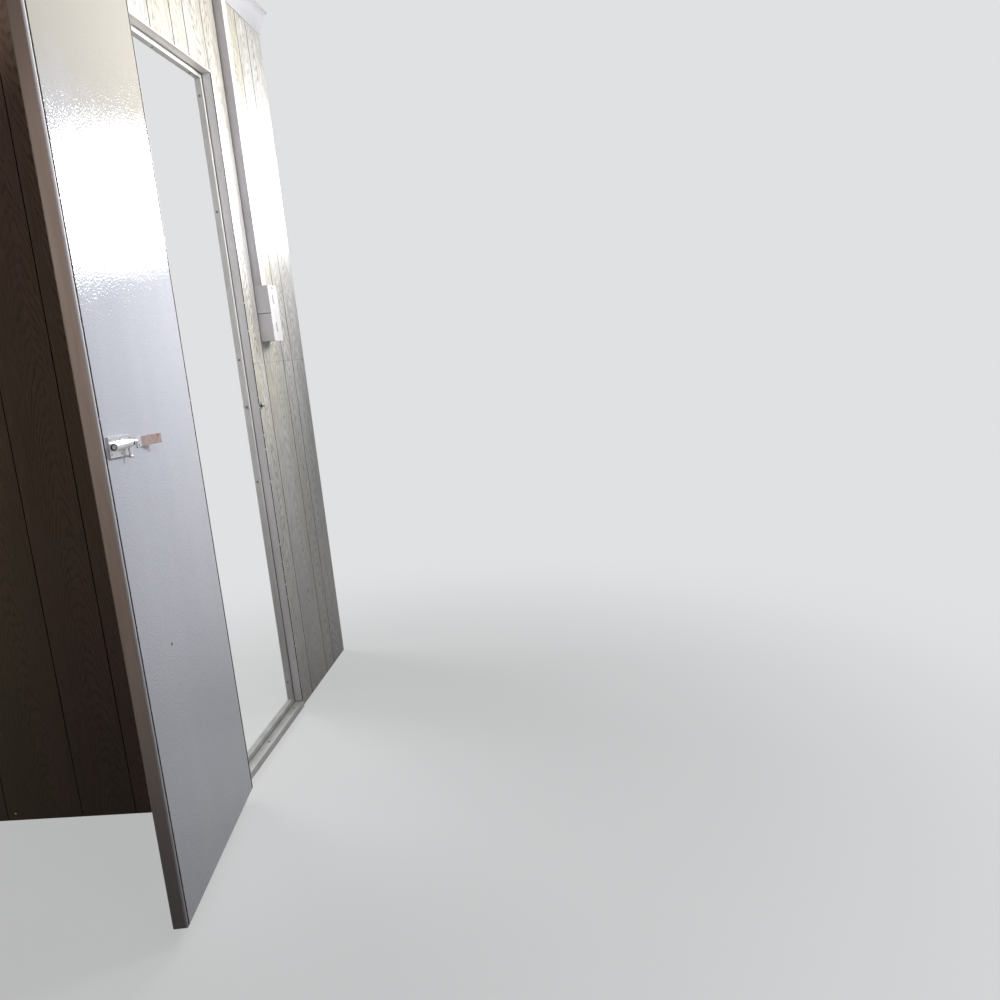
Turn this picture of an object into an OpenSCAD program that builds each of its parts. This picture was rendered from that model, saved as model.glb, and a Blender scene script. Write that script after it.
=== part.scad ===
// Toilet partition of a portable site cabin: two stud walls that meet in a corner,
// a rebated metal door frame, a single leaf on butt hinges and a barrel bolt inside.
// Origin on the floor where the two walls' centre lines cross. The door wall runs
// along +Y, the return wall along -X, and the cabin room lies on the +X and -Y sides.

/* [Walls] */
// Height of the walls, floor to ceiling
wall_h = 2240; // [2100:10:2600]
// Length of the door wall, from the return wall's room face
door_wall_l = 1218; // [1150:1:1800]
// Length of the return wall, from the door wall's room face
return_wall_l = 1100; // [700:1:1800]
// Side of the square timber studs
stud_w = 38; // [34:1:60]
// Thickness of the wall boards
board_t = 4; // [3:0.5:12]
// Width of the grooves between planks
groove_w = 3; // [2:0.5:5]
// Depth of the grooves between planks
groove_d = 1.5; // [0.5:0.25:2]

/* [Trim] */
// Height and width of the cornice
cornice_w = 50; // [30:1:70]
// Thickness of the cornice's edges
cornice_lip = 6; // [3:1:12]
// Leg of the angle on the outer corner
trim_leg = 22; // [12:1:30]
// Thickness of the angle on the outer corner
trim_t = 2; // [1:0.5:4]

/* [Door frame] */
// Clear width between the jambs in the rebate
opening_w = 610; // [560:1:640]
// Height of the head's soffit above the floor
head_z = 1925; // [1850:5:1990]
// Height of the threshold's sill above the floor
sill_h = 19; // [10:1:30]
// Thickness of the frame's metal
frame_t = 3; // [2:0.5:6]
// How far the frame stands out of the room board
frame_proud = 5; // [0:1:12]
// Depth of the rebate that takes the leaf
rebate_d = 28; // [20:1:32]
// Depth of the stop behind the rebate
stop_t = 17; // [16:1:20]
// Height of the stop above the rebate
stop_h = 14; // [13:1:18]
// Metal around the hollow of the stop
stop_wall = 2; // [1.5:0.5:2.5]
// Width of the groove at the foot of the stop
seal_groove_w = 1.5; // [0.5:0.25:1.5]
// Depth of the groove at the foot of the stop
seal_groove_d = 2; // [1:0.5:3]
// Side of the latch keep's plate beside the frame
keep_plate_w = 24; // [18:1:36]
// Thickness of the latch keep's metal
keep_t = 1.5; // [1:0.5:2]

/* [Door leaf] */
// Thickness of the leaf
leaf_t = 30; // [25:1:40]
// Clearance between the closed leaf and the stop
stop_gap = 5; // [5:0.5:8]
// Clearance at the hinge edge
hinge_gap = 7; // [7:0.5:9]
// Clearance at the lock edge
lock_gap = 8; // [6:0.5:10]
// Clearance above the sill
foot_gap = 10; // [6:1:12]
// Clearance below the head
top_gap = 8; // [6:0.5:10]
// Depth of the edging on the leaf's long edges
edging_w = 5; // [4:0.5:10]
// Radius on the edging's corners
edging_r = 3.5; // [1:0.5:3.5]
// Width and depth of the seam beside the edging
seam_w = 2.5; // [1:0.5:3]
// Angle at which the leaf stands open
door_angle = 173; // [90:1:178]

/* [Hinges] */
// Length of a hinge
hinge_l = 75; // [50:5:100]
// Radius of a hinge's knuckles
knuckle_r = 4.5; // [4:0.25:5]
// Radius of a hinge's pin
pin_r = 2; // [1.5:0.25:2.5]
// Running clearance of a knuckle round the pin
pin_clear = 0.06; // [0.02:0.01:0.1]
// Thickness of a hinge's plates
hinge_plate_t = 2; // [1.5:0.25:2.5]
// Width of a hinge's plates on the frame and the leaf
hinge_plate_w = 24; // [16:1:26]
// Gap between knuckles
knuckle_gap = 0.5; // [0.3:0.1:1]
// Pin's distance out of the leaf's room face
pin_out = 3; // [3:0.25:6]
// Pin's distance from the hinge jamb
pin_in = 3; // [3:0.25:4]
// Distance of the end hinges from the leaf's ends
hinge_inset = 180; // [100:5:300]

/* [Bolt] */
// Height of the bolt above the floor
bolt_z = 969; // [800:1:1200]
// Length of the bolt's base plate
bolt_plate_l = 116; // [100:1:140]
// Height of the bolt's base plate
bolt_plate_h = 38; // [30:1:50]
// Thickness of the bolt's base plate
bolt_plate_t = 2; // [1.5:0.25:2.5]
// How far the base plate's face stands off the leaf, on its folded edges
bolt_plate_rise = 5; // [3.5:0.5:6]
// How far out of level the base plate is fixed
bolt_plate_tilt = 2.5; // [0:0.5:4]
// Distance of the base plate from the lock edge
bolt_setback = 18; // [15:1:20]
// Radius of the rod
rod_r = 4; // [3:0.5:4]
// Clearance of the rod in the barrel
rod_clear = 0.3; // [0.2:0.1:0.5]
// Clearance of the rod in the jamb's hole
keep_clear = 1; // [0.5:0.25:1]
// Outer radius of the barrel
barrel_r = 7.5; // [6:0.5:8]
// Distance of the rod's axis from the leaf's face
rod_out = 12; // [11.5:0.5:12.5]
// Travel of the rod
bolt_travel = 24; // [20:1:24]
// Length of the pull strap behind the bolt
strap_l = 80; // [50:1:120]
// Height of the pull strap behind the bolt
strap_h = 20; // [12:1:30]
// How far the pull strap's free end stands off the leaf
strap_rise = 22; // [10:1:26]

/* [Switches] */
// Distance from the door frame to the switch boxes
switch_offset = 118; // [60:1:200]
// Height of the lower box's underside
switch_z = 1161; // [900:1:1500]
// Side of the square switch boxes
switch_w = 86; // [80:1:100]
// Depth of the switch boxes
switch_box_d = 35; // [25:1:50]
// Thickness of the switch plates
switch_plate_t = 8; // [5:1:12]
// Width of the switches' rockers
rocker_w = 12; // [8:1:60]
// Height of the switches' rockers
rocker_h = 26; // [16:1:60]
// Width of the cable trunking
trunking_w = 38; // [16:1:60]
// Depth of the cable trunking
trunking_d = 26; // [12:1:30]

/* [Hidden] */

// Studs between +core and -core, the boards' outer faces at +face and -face
core = stud_w / 2;
face = core + board_t;
door_wall_end = door_wall_l - face;
return_wall_end = face - return_wall_l;

// Plank widths from the outer corner onwards, repeated along a longer wall
DOOR_WALL_PLANKS = [84, 197, 145, 96, 142, 113, 196, 101, 144];
RETURN_WALL_PLANKS = [152, 95, 144, 203, 197, 145, 99];
MOST_PLANKS = 18;

// Frame: the jambs' rebate faces, then the frame's depth from front to back
reveal_hinge = face + frame_t;
reveal_lock = reveal_hinge + opening_w;
frame_end = reveal_lock + frame_t;
frame_top = head_z + frame_t;
frame_front = face + frame_proud;
frame_back = -face;
stop_front = frame_front - rebate_d;
stop_back = stop_front - stop_t;

// Leaf in its closed place
leaf_in = stop_front + stop_gap;
leaf_out = leaf_in + leaf_t;
leaf_hinge_edge = reveal_hinge + hinge_gap;
leaf_lock_edge = reveal_lock - lock_gap;
leaf_foot = sill_h + foot_gap;
leaf_top = head_z - top_gap;

// Hinges: five knuckles on each, three of them on the frame
KNUCKLES = 5;
PIN_CAP_H = 1.2;
pin_x = leaf_out + pin_out;
pin_y = reveal_hinge + pin_in;
knuckle_pitch = hinge_l / KNUCKLES;
plate_reach = pin_x - knuckle_r - 0.7;
hinge_upper_z = leaf_top - hinge_inset - hinge_l;
hinge_lower_z = leaf_foot + hinge_inset;
hinge_middle_z = (hinge_upper_z + hinge_lower_z) / 2;

// Bolt on the leaf's inner face, with its mouth towards the lock edge
bolt_plate_face = leaf_in - bolt_plate_rise;
rod_x = leaf_in - rod_out;
bolt_end = leaf_lock_edge - bolt_setback;
bolt_start = bolt_end - bolt_plate_l;
barrel_end = bolt_end - 2;
BARREL_BACK = 28;
barrel_start = bolt_start + BARREL_BACK;
REAR_RING_L = 9;
rear_ring_r = barrel_r - 1;
REAR_RING_CLEAR = 1.2;
rear_ring_start = barrel_start - 16;
MOUTH_WALL = 1.5;
MOUTH_DEPTH = 3;
rod_tip = barrel_end - 2;
rod_tail = rear_ring_start - 20;
knob_y = barrel_start + 6;
KNOB_NECK_R = 2;
KNOB_NECK_GAP = 1.5;
KNOB_BODY_R = 3.6;
KNOB_R = 4.2;
KNOB_DROP = 29;
slot_w = 2 * KNOB_NECK_R + 1;
keep_r = rod_r + keep_clear;

// Pull strap behind the bolt: a foot on the leaf, then a flap bent away from it
strap_start = rod_tail - 31;
strap_z = bolt_z - 5;
STRAP_T = 2;
STRAP_FOOT = 20;
STRAP_HOLE_R = 2.2;
STRAP_HOLE_INSET = 9;
STRAP_HOLE_UP = 6;

// Switches and trunking on the door wall
switch_y = frame_end + switch_offset;
switch_upper_z = switch_z + switch_w;
trunking_z = switch_upper_z + switch_w;
PLATE_EDGE_R = 4;
BOX_INSET = 1;
ROCKER_RAISE = 2;
LID_DEPTH = 6;
LID_SEAM = 0.8;

// Latch keep on the room board beside the lock jamb
keep_y = frame_end + 3;
keep_tube_r = 6;
keep_x = face + keep_tube_r + 0.5;
keep_tube_l = keep_plate_w - 6;

ROUND = 48;

// Sum of the first n widths of a list that repeats
function run(list, n) = n <= 0 ? 0 : run(list, n - 1) + list[(n - 1) % len(list)];

// Moves what is drawn on the closed leaf to where the leaf stands open
module opened() {
    translate([pin_x, pin_y, 0])
        rotate([0, 0, -door_angle])
            translate([-pin_x, -pin_y, 0])
                children();
}

// Block between two corners
module block(low, high) {
    translate(low) cube(high - low);
}

// Plan of a grooved board with its back on the X axis, its planks counted from x = 0
module grooved_plan(from, to, planks) {
    difference() {
        translate([from, 0]) square([to - from, board_t]);
        for (i = [1:MOST_PLANKS]) {
            seam = run(planks, i);
            if (seam > from + groove_w && seam < to - groove_w)
                translate([seam, board_t])
                    polygon([[-groove_w / 2, 0.1], [-groove_w / 2, 0], [0, -groove_d],
                        [groove_w / 2, 0], [groove_w / 2, 0.1]]);
        }
    }
}

// Grooved board on the door wall, between two distances from the outer corner
module door_wall_board(from, to, z0, z1) {
    translate([core, -face, z0])
        mirror([1, -1, 0])
            linear_extrude(z1 - z0)
                grooved_plan(from, to, DOOR_WALL_PLANKS);
}

// Section of a stop: a tube out from the rebate along Y, with a seal groove at its front foot
module stop_section() {
    difference() {
        translate([-stop_t, 0]) square([stop_t, stop_h]);
        translate([stop_wall - stop_t, stop_wall])
            square([stop_t - 2 * stop_wall, stop_h - 2 * stop_wall]);
        translate([-seal_groove_d, -1]) square([seal_groove_d + 1, seal_groove_w + 1]);
    }
}

// Outline of a long edging, its inner side on the X axis, with two rounded corners
module edging_section() {
    intersection() {
        square([leaf_t, edging_w]);
        union() {
            square([leaf_t, edging_w - edging_r]);
            translate([edging_r, 0]) square([leaf_t - 2 * edging_r, edging_w]);
            for (x = [edging_r, leaf_t - edging_r])
                translate([x, edging_w - edging_r]) circle(r = edging_r, $fn = ROUND);
        }
    }
}

// Rounded square outline of a switch plate
module plate_section(side, r) {
    translate([r, 0]) square([side - 2 * r, side]);
    translate([0, r]) square([side, side - 2 * r]);
    for (u = [r, side - r], v = [r, side - r])
        translate([u, v]) circle(r = r, $fn = ROUND);
}

// Cornice's section: out from the wall along X, down from the ceiling along -Y
module cornice_section() {
    difference() {
        translate([0, -cornice_w]) square([cornice_w, cornice_w]);
        translate([cornice_w, -cornice_w]) circle(r = cornice_w - cornice_lip, $fn = 96);
    }
}

// Timber of the stud's section, standing
module stud(x, y, z0, z1) {
    color("burlywood") block([x, y, z0], [x + stud_w, y + stud_w, z1]);
}

// Hinge half on the frame with three knuckles and the pin
module frame_half(z0) {
    color("silver") {
        block([frame_front - hinge_plate_w, reveal_hinge, z0],
            [plate_reach, reveal_hinge + hinge_plate_t, z0 + hinge_l]);
        for (i = [0, 2, 4]) {
            block([plate_reach - 1, reveal_hinge, z0 + i * knuckle_pitch + knuckle_gap / 2],
                [pin_x, reveal_hinge + hinge_plate_t, z0 + (i + 1) * knuckle_pitch - knuckle_gap / 2]);
            translate([pin_x, pin_y, z0 + i * knuckle_pitch + knuckle_gap / 2])
                cylinder(r = knuckle_r, h = knuckle_pitch - knuckle_gap, $fn = ROUND);
        }
        translate([pin_x, pin_y, z0 - PIN_CAP_H])
            cylinder(r = pin_r, h = hinge_l + 2 * PIN_CAP_H, $fn = ROUND);
        for (z = [z0 - PIN_CAP_H, z0 + hinge_l - knuckle_gap / 2])
            translate([pin_x, pin_y, z])
                cylinder(r = knuckle_r - 1, h = PIN_CAP_H + knuckle_gap / 2, $fn = ROUND);
    }
}

// Hinge half on the leaf's edge with two bored knuckles
module door_half(z0) {
    color("silver") opened() difference() {
        union() {
            block([leaf_out - hinge_plate_w, leaf_hinge_edge - hinge_plate_t, z0],
                [plate_reach, leaf_hinge_edge, z0 + hinge_l]);
            for (i = [1, 3]) {
                block([plate_reach - 1, leaf_hinge_edge - hinge_plate_t,
                        z0 + i * knuckle_pitch + knuckle_gap / 2],
                    [pin_x, leaf_hinge_edge, z0 + (i + 1) * knuckle_pitch - knuckle_gap / 2]);
                translate([pin_x, pin_y, z0 + i * knuckle_pitch + knuckle_gap / 2])
                    cylinder(r = knuckle_r, h = knuckle_pitch - knuckle_gap, $fn = ROUND);
            }
        }
        translate([pin_x, pin_y, z0 - 1])
            cylinder(r = pin_r + pin_clear, h = hinge_l + 2, $fn = ROUND);
    }
}

// Base plate of the bolt: a shallow tray, open towards the leaf, with its lock end at y = 0
module bolt_plate() {
    inner = bolt_plate_h / 2 - bolt_plate_t;
    difference() {
        block([-bolt_plate_rise, -bolt_plate_l, -bolt_plate_h / 2], [0, 0, bolt_plate_h / 2]);
        block([bolt_plate_t - bolt_plate_rise, bolt_plate_t - bolt_plate_l, -inner],
            [1, -bolt_plate_t, inner]);
    }
}

// Surface box with its rounded plate and a narrow rocker
module switch_unit(z0) {
    block([face, switch_y + BOX_INSET, z0 + BOX_INSET],
        [face + switch_box_d, switch_y + switch_w - BOX_INSET, z0 + switch_w - BOX_INSET]);
    translate([face + switch_box_d, switch_y, z0])
        rotate([90, 0, 90]) {
            linear_extrude(switch_plate_t) plate_section(switch_w, PLATE_EDGE_R);
            translate([(switch_w - rocker_w) / 2, (switch_w - rocker_h) / 2, 0])
                cube([rocker_w, rocker_h, switch_plate_t + ROCKER_RAISE]);
        }
}

// Walls

module corner_post() {
    stud(-core, -core, 0, wall_h);
}

module lock_stud() {
    stud(-core, frame_end, stud_w, wall_h - stud_w);
}

module side_stud() {
    stud(-core, (frame_end + door_wall_end - stud_w) / 2, stud_w, wall_h - stud_w);
}

module end_stud() {
    stud(-core, door_wall_end - stud_w, stud_w, wall_h - stud_w);
}

module header_rail() {
    color("burlywood") block([-core, face, frame_top], [core, frame_end, frame_top + stud_w]);
}

module return_stud() {
    stud((return_wall_end - core) / 2 - core, -core, stud_w, wall_h - stud_w);
}

module return_end_stud() {
    stud(return_wall_end, -core, stud_w, wall_h - stud_w);
}

module floor_plate_side() {
    color("burlywood") block([-core, frame_end, 0], [core, door_wall_end, stud_w]);
}

module floor_plate_return() {
    color("burlywood") block([return_wall_end, -core, 0], [-core, core, stud_w]);
}

module top_plate_door_wall() {
    color("burlywood") block([-core, face, wall_h - stud_w], [core, door_wall_end, wall_h]);
}

module top_plate_return() {
    color("burlywood") block([return_wall_end, -core, wall_h - stud_w], [-core, core, wall_h]);
}

module board_corner() {
    color("gainsboro") door_wall_board(0, 2 * face, 0, wall_h);
}

module board_side() {
    color("gainsboro") door_wall_board(frame_end + face, door_wall_l, 0, wall_h);
}

module board_over_door() {
    color("gainsboro") door_wall_board(2 * face, frame_end + face, frame_top, wall_h);
}

module board_return() {
    color("gainsboro")
        translate([face, -core, 0])
            rotate([0, 0, 180])
                linear_extrude(wall_h)
                    grooved_plan(board_t, return_wall_l, RETURN_WALL_PLANKS);
}

module lining_side() {
    color("gainsboro") block([-face, frame_end, 0], [-core, door_wall_end, wall_h]);
}

module lining_over_door() {
    color("gainsboro") block([-face, face, frame_top], [-core, frame_end, wall_h]);
}

module lining_return() {
    color("gainsboro") block([return_wall_end, core, 0], [core, face, wall_h]);
}

// Trim

module corner_trim() {
    color("white") {
        block([face, -face - trim_t, 0], [face + trim_t, trim_leg - face - trim_t, wall_h - cornice_w]);
        block([face + trim_t - trim_leg, -face - trim_t, 0], [face, -face, wall_h - cornice_w]);
    }
}

module cornice_door_wall() {
    color("white") intersection() {
        translate([face, door_wall_end, wall_h])
            rotate([90, 0, 0])
                linear_extrude(door_wall_l + cornice_w) cornice_section();
        translate([0, 0, wall_h - cornice_w - 1])
            linear_extrude(cornice_w + 2)
                polygon([[face, -face], [face + cornice_w, -face - cornice_w],
                    [face + cornice_w, door_wall_end - cornice_w], [face, door_wall_end]]);
    }
}

module cornice_return() {
    color("white") intersection() {
        translate([return_wall_end, -face, wall_h])
            rotate([90, 0, 90])
                mirror([1, 0, 0])
                    linear_extrude(return_wall_l + cornice_w) cornice_section();
        translate([0, 0, wall_h - cornice_w - 1])
            linear_extrude(cornice_w + 2)
                polygon([[face, -face], [face + cornice_w, -face - cornice_w],
                    [return_wall_end + cornice_w, -face - cornice_w], [return_wall_end, -face]]);
    }
}

// Door frame

module hinge_jamb() {
    color("lightgray") block([frame_back, face, 0], [frame_front, reveal_hinge, frame_top]);
}

module hinge_stop() {
    color("lightgray")
        translate([stop_front, reveal_hinge, sill_h])
            linear_extrude(head_z - sill_h) stop_section();
}

module lock_jamb() {
    color("lightgray") block([frame_back, reveal_lock, 0], [frame_front, frame_end, frame_top]);
}

module lock_stop() {
    color("lightgray") difference() {
        translate([stop_front, reveal_lock, sill_h])
            mirror([0, 1, 0])
                linear_extrude(head_z - sill_h) stop_section();
        translate([rod_x, reveal_lock - stop_h - 1, bolt_z])
            rotate([-90, 0, 0])
                cylinder(r = keep_r, h = stop_wall + 2, $fn = ROUND);
    }
}

module latch_keep() {
    color("silver") difference() {
        union() {
            block([face, keep_y, bolt_z - keep_plate_w / 2],
                [face + keep_t, keep_y + keep_plate_w, bolt_z + keep_plate_w / 2]);
            translate([keep_x, keep_y, bolt_z])
                rotate([-90, 0, 0])
                    cylinder(r = keep_tube_r, h = keep_tube_l, $fn = ROUND);
            block([face, keep_y, bolt_z - keep_tube_r * 0.7],
                [keep_x, keep_y + keep_tube_l, bolt_z + keep_tube_r * 0.7]);
        }
        translate([keep_x, keep_y - 1, bolt_z])
            rotate([-90, 0, 0])
                cylinder(r = keep_tube_r - keep_t, h = keep_tube_l - keep_t + 1, $fn = ROUND);
    }
}

module frame_head() {
    color("lightgray") block([frame_back, reveal_hinge, head_z], [frame_front, reveal_lock, frame_top]);
}

module head_stop() {
    color("lightgray")
        translate([stop_front, reveal_hinge + stop_h, head_z])
            rotate([-90, 0, 0])
                linear_extrude(opening_w - 2 * stop_h) stop_section();
}

module threshold() {
    color("darkgray") difference() {
        block([frame_back, reveal_hinge, 0], [frame_front, reveal_lock, sill_h]);
        block([frame_back + 2, reveal_hinge - 1, 2], [frame_front - 2, reveal_lock + 1, sill_h - 2]);
    }
}

module threshold_stop() {
    color("darkgray")
        translate([stop_front, reveal_lock - stop_h, sill_h])
            rotate([90, 0, 0])
                linear_extrude(opening_w - 2 * stop_h) stop_section();
}

// Door leaf

module door_panel() {
    color("white") opened() {
        block([leaf_in, leaf_hinge_edge + edging_w + seam_w, leaf_foot],
            [leaf_out, leaf_lock_edge - edging_w - seam_w, leaf_top]);
        block([leaf_in + seam_w, leaf_hinge_edge + edging_w, leaf_foot],
            [leaf_out - seam_w, leaf_lock_edge - edging_w, leaf_top]);
    }
}

module door_lock_edging() {
    color("white") opened()
        translate([leaf_in, leaf_lock_edge - edging_w, leaf_foot])
            linear_extrude(leaf_top - leaf_foot) edging_section();
}

module door_hinge_edging() {
    color("white") opened()
        translate([leaf_in, leaf_hinge_edge + edging_w, leaf_foot])
            mirror([0, 1, 0])
                linear_extrude(leaf_top - leaf_foot) edging_section();
}

// Hinges

module hinge_upper_frame_half() {
    frame_half(hinge_upper_z);
}

module hinge_middle_frame_half() {
    frame_half(hinge_middle_z);
}

module hinge_lower_frame_half() {
    frame_half(hinge_lower_z);
}

module hinge_upper_door_half() {
    door_half(hinge_upper_z);
}

module hinge_middle_door_half() {
    door_half(hinge_middle_z);
}

module hinge_lower_door_half() {
    door_half(hinge_lower_z);
}

// Bolt

module bolt_barrel() {
    seat = bolt_plate_face + bolt_plate_t / 2;
    color("silver") opened() {
        translate([leaf_in, bolt_end, bolt_z])
            rotate([bolt_plate_tilt, 0, 0])
                bolt_plate();
        difference() {
            union() {
                translate([rod_x, barrel_start, bolt_z])
                    rotate([-90, 0, 0])
                        cylinder(r = barrel_r, h = barrel_end - barrel_start, $fn = ROUND);
                block([rod_x, barrel_start, bolt_z - barrel_r + 1],
                    [seat, barrel_end, bolt_z + barrel_r - 1]);
            }
            translate([rod_x, barrel_start - 1, bolt_z])
                rotate([-90, 0, 0])
                    cylinder(r = rod_r + rod_clear, h = barrel_end - barrel_start + 2, $fn = ROUND);
            translate([rod_x, barrel_end - MOUTH_DEPTH, bolt_z])
                rotate([-90, 0, 0])
                    cylinder(r = barrel_r - MOUTH_WALL, h = MOUTH_DEPTH + 1, $fn = ROUND);
            block([rod_x - slot_w / 2, knob_y - slot_w / 2, bolt_z - barrel_r - 1],
                [rod_x + slot_w / 2, knob_y + bolt_travel + slot_w / 2, bolt_z]);
        }
        difference() {
            union() {
                translate([rod_x, rear_ring_start, bolt_z])
                    rotate([-90, 0, 0])
                        cylinder(r = rear_ring_r, h = REAR_RING_L, $fn = ROUND);
                block([rod_x, rear_ring_start, bolt_z - rear_ring_r + 1],
                    [seat, rear_ring_start + REAR_RING_L, bolt_z + rear_ring_r - 1]);
            }
            translate([rod_x, rear_ring_start - 1, bolt_z])
                rotate([-90, 0, 0])
                    cylinder(r = rod_r + REAR_RING_CLEAR, h = REAR_RING_L + 2, $fn = ROUND);
        }
    }
}

module bolt_rod() {
    knob_z = bolt_z - KNOB_DROP + KNOB_R;
    body_top = bolt_z - barrel_r - KNOB_NECK_GAP;
    color("gainsboro") opened() {
        translate([rod_x, rod_tail, bolt_z])
            rotate([-90, 0, 0])
                cylinder(r = rod_r, h = rod_tip - rod_tail, $fn = ROUND);
        translate([rod_x, knob_y, knob_z])
            cylinder(r = KNOB_NECK_R, h = bolt_z - knob_z, $fn = ROUND);
        translate([rod_x, knob_y, knob_z])
            cylinder(r = KNOB_BODY_R, h = body_top - knob_z, $fn = ROUND);
        translate([rod_x, knob_y, knob_z])
            sphere(r = KNOB_R, $fn = ROUND);
    }
}

module bolt_strap() {
    bend = strap_start - STRAP_FOOT;
    tip = strap_start - strap_l;
    color("silver") opened() difference() {
        translate([0, 0, strap_z - strap_h / 2])
            linear_extrude(strap_h)
                polygon([[leaf_in, strap_start], [leaf_in, bend], [leaf_in - strap_rise, tip],
                    [leaf_in - strap_rise - STRAP_T, tip], [leaf_in - STRAP_T, bend + 0.5],
                    [leaf_in - STRAP_T, strap_start]]);
        translate([leaf_in - strap_rise - 2 * STRAP_T, tip + STRAP_HOLE_INSET,
                strap_z + STRAP_HOLE_UP])
            rotate([0, 90, 0])
                cylinder(r = STRAP_HOLE_R, h = strap_rise, $fn = ROUND);
    }
}

// Switches

module trunking() {
    color("whitesmoke") difference() {
        block([face, switch_y, trunking_z - BOX_INSET],
            [face + trunking_d, switch_y + trunking_w, wall_h - cornice_w]);
        for (y = [switch_y - 1, switch_y + trunking_w - LID_SEAM])
            block([face + trunking_d - LID_DEPTH - LID_SEAM, y, trunking_z - 2],
                [face + trunking_d - LID_DEPTH, y + 1 + LID_SEAM, wall_h]);
    }
}

module switch_upper() {
    color("ivory") switch_unit(switch_upper_z);
}

module switch_lower() {
    color("ivory") switch_unit(switch_z);
}

corner_post();
lock_stud();
side_stud();
end_stud();
header_rail();
return_stud();
return_end_stud();
floor_plate_side();
floor_plate_return();
top_plate_door_wall();
top_plate_return();
board_corner();
board_side();
board_over_door();
board_return();
lining_side();
lining_over_door();
lining_return();
corner_trim();
cornice_door_wall();
cornice_return();
hinge_jamb();
hinge_stop();
lock_jamb();
lock_stop();
latch_keep();
frame_head();
head_stop();
threshold();
threshold_stop();
door_panel();
door_lock_edging();
door_hinge_edging();
hinge_upper_frame_half();
hinge_middle_frame_half();
hinge_lower_frame_half();
hinge_upper_door_half();
hinge_middle_door_half();
hinge_lower_door_half();
bolt_barrel();
bolt_rod();
bolt_strap();
trunking();
switch_upper();
switch_lower();
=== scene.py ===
"""Looks for the cabin's toilet partition: printed oak boards, a painted metal door frame, a gloss
door leaf with its barrel bolt, cable trunking and two switches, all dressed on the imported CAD.

Metres throughout. The origin is on the floor where the two walls' centre lines cross: the door
wall runs along +Y, the return wall along -X, and the cabin room lies on the +X and -Y sides.
"""

import math
import random

import bmesh
import bpy
from mathutils import Euler, Matrix, Vector


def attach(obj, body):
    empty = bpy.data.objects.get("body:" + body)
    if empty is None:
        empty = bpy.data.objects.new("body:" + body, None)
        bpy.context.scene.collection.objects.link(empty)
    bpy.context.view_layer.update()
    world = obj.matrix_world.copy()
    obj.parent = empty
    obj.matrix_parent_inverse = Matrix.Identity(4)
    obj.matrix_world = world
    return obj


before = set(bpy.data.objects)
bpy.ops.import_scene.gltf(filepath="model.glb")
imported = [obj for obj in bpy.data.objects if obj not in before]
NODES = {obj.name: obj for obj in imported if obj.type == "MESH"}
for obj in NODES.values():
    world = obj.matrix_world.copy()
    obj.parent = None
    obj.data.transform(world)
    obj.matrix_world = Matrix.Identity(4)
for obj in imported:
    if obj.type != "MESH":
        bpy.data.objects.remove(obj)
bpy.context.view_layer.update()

# Sizes that repeat what part.scad says, in metres
FACE = 0.023
GROOVE_D = 0.0015
DOOR_WALL_PLANKS = (0.084, 0.197, 0.145, 0.096, 0.142, 0.113, 0.196, 0.101, 0.144)
RETURN_WALL_PLANKS = (0.152, 0.095, 0.144, 0.203, 0.197, 0.145, 0.099)
PIN = (0.038, 0.029)
DOOR_ANGLE = math.radians(173)
LEAF_IN = 0.005
LEAF_HINGE_EDGE, LEAF_LOCK_EDGE = 0.033, 0.628
EDGING_W, SEAM_W, ARRIS_R = 0.005, 0.0025, 0.0035
REVEAL_HINGE, REVEAL_LOCK = 0.026, 0.636
FRAME_FRONT, FRAME_T, HEAD_Z, SILL_H = 0.028, 0.003, 1.925, 0.019
STOP_H = 0.014
HINGE_FEET, HINGE_PLATE_T = (0.209, 0.9355, 1.662), 0.002
BOLT_Z, BOLT_END, BOLT_PLATE_TILT, BOLT_PLATE_RISE = 0.969, 0.610, math.radians(2.5), 0.005
STRAP_BEND, STRAP_T = 0.435, 0.002
ROD_X, ROD_R, BARREL_R, BARREL_START, BARREL_END = -0.007, 0.004, 0.0075, 0.522, 0.608
REAR_RING_BACK, REAR_RING_FRONT = 0.506, 0.515
SWITCH_Y, SWITCH_Z, SWITCH_W = 0.757, 1.161, 0.086
SWITCH_MIDDLE = SWITCH_Y + SWITCH_W / 2
PLATE_FACE, ROCKER_W, ROCKER_H = 0.066, 0.012, 0.026
KEEP_FACE = 0.0245

# Sizes of what is only painted: the line where two boards meet, half a groove's line, the dark line
# where the frame stands on the sill, and the painted shade round a rocker
BOARD_JOINT_Z = 1.098
GROOVE_LINE = 0.0012
FOOT_LINE_UP, FOOT_LINE_HALF = 0.0014, 0.0011
ROCKER_GAP = 0.0009

# Moves what is drawn on the closed leaf to where the leaf stands open
OPENED = (
    Matrix.Translation((*PIN, 0))
    @ Matrix.Rotation(-DOOR_ANGLE, 4, "Z")
    @ Matrix.Translation((-PIN[0], -PIN[1], 0))
)


def srgb(red, green, blue):
    """Linear colour, with alpha, of an sRGB colour given from 0 to 255."""
    linear = []
    for level in (red, green, blue):
        part = level / 255
        linear.append(part / 12.92 if part <= 0.04045 else ((part + 0.055) / 1.055) ** 2.4)
    return (*linear, 1.0)


# Node helpers


def give(tree, socket, value):
    """Links a socket to another one, or sets its value."""
    if isinstance(value, bpy.types.NodeSocket):
        tree.links.new(value, socket)
    else:
        socket.default_value = value


def add(tree, kind, inputs=None, **settings):
    """Adds a node with its settings and inputs, and returns it."""
    node = tree.nodes.new(kind)
    for name, value in settings.items():
        setattr(node, name, value)
    for key, value in (inputs or {}).items():
        give(tree, node.inputs[key], value)
    return node


def calc(tree, operation, *values, clamp=False):
    """Result of a Math node."""
    node = add(tree, "ShaderNodeMath", dict(enumerate(values)), operation=operation, use_clamp=clamp)
    return node.outputs[0]


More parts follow.
